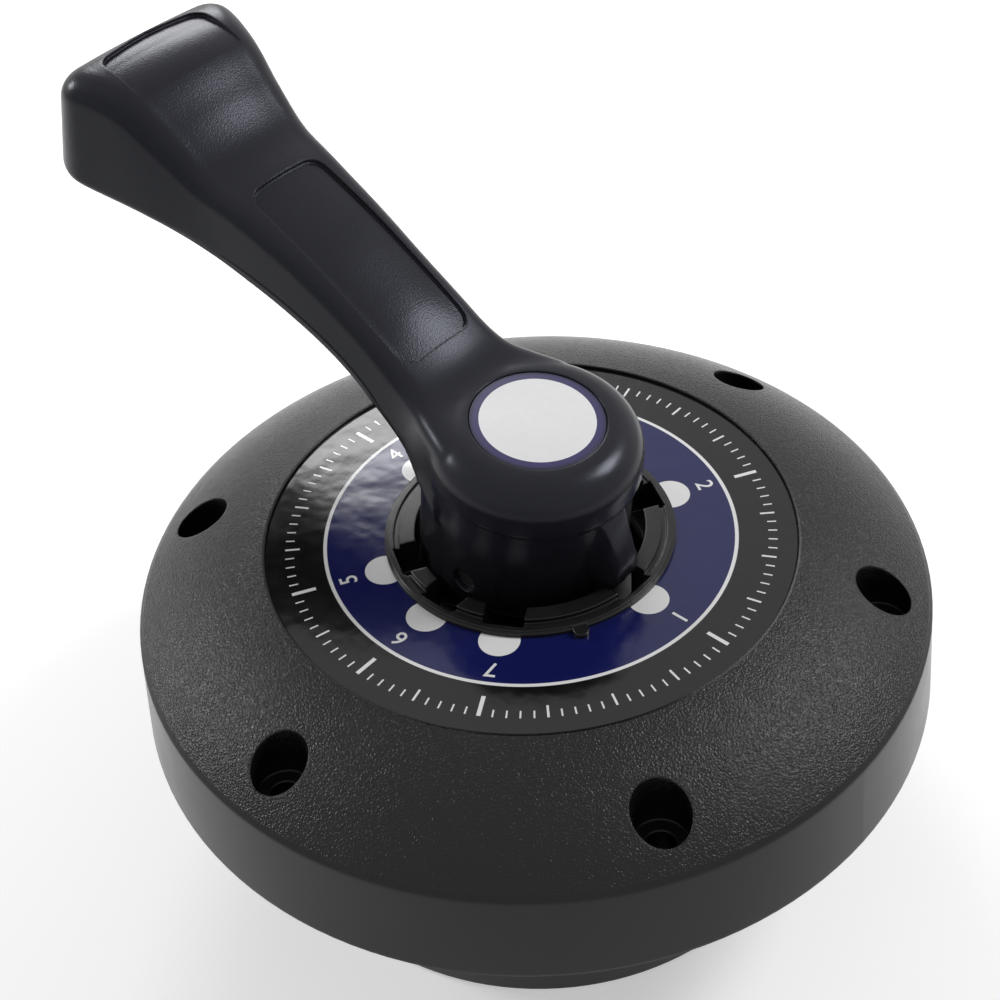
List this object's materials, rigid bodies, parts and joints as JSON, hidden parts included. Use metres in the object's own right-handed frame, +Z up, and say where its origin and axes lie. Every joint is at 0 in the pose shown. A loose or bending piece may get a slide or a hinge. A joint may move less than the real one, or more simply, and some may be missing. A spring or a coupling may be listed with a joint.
{
  "type": "multiport valve top assembly",
  "caption": "Multiport valve cover with an indexed dial, a lever handle that is pressed down to lift a sprung, spoked key and turned to pick a flow path, and a ring of bolt holes.",
  "frame": {"origin": "centre of the bolt circle, on the plane where the cover's skirt seats on the valve body", "axes": "+Z up the stem, away from the valve body; the lever handle points to -X and its index nose to +X, the first position"},
  "size_m": [0.2365, 0.204, 0.1919],
  "materials": {
    "cover_plastic": "satin",
    "collar_plastic": "gloss",
    "handle_plastic": "satin",
    "key_plastic": "gloss",
    "dial_film": "gloss",
    "medallion_film": "gloss",
    "bearing_plastic": "satin",
    "seal_rubber": "satin",
    "stainless": "satin"
  },
  "bodies": {
    "cover": {"cover": "cover_plastic", "index_collar": "collar_plastic", "position_label": "dial_film", "cover_seal": "seal_rubber", "stem_bushing": "bearing_plastic", "upper_stem_seal": "seal_rubber", "lower_stem_seal": "seal_rubber", "neck_washer": "stainless", "spring_slip_washer": "bearing_plastic", "slip_washer": "bearing_plastic"},
    "turntable": {"wear_plate": "stainless"},
    "key": {"key": "key_plastic", "key_seal": "seal_rubber", "cup_washer": "stainless", "key_spring": "stainless", "handle_pin": "stainless"},
    "handle": {"handle": "handle_plastic", "hub_medallion": "medallion_film"}
  },
  "joints": [
    {"name": "turn", "type": "hinge", "parent": "cover", "child": "turntable", "pos_m": [0, 0, 0], "axis": [0, 0, 1], "continuous": true},
    {"name": "key_lift", "type": "slide", "parent": "turntable", "child": "key", "axis": [0, 0, 1], "range_m": [0, 0.0065], "deforming": ["key_spring"]},
    {"name": "handle_press", "type": "hinge", "parent": "key", "child": "handle", "pos_m": [0, 0, 0.0425], "axis": [0, -1, 0], "range_deg": [0, 25], "stiffness_Nm_per_rad": 2, "springref_deg": -61.31}
  ],
  "couplings": [
    {"joint": "key_lift", "follows": "handle_press", "m_per_rad": 0.014881}
  ]
}
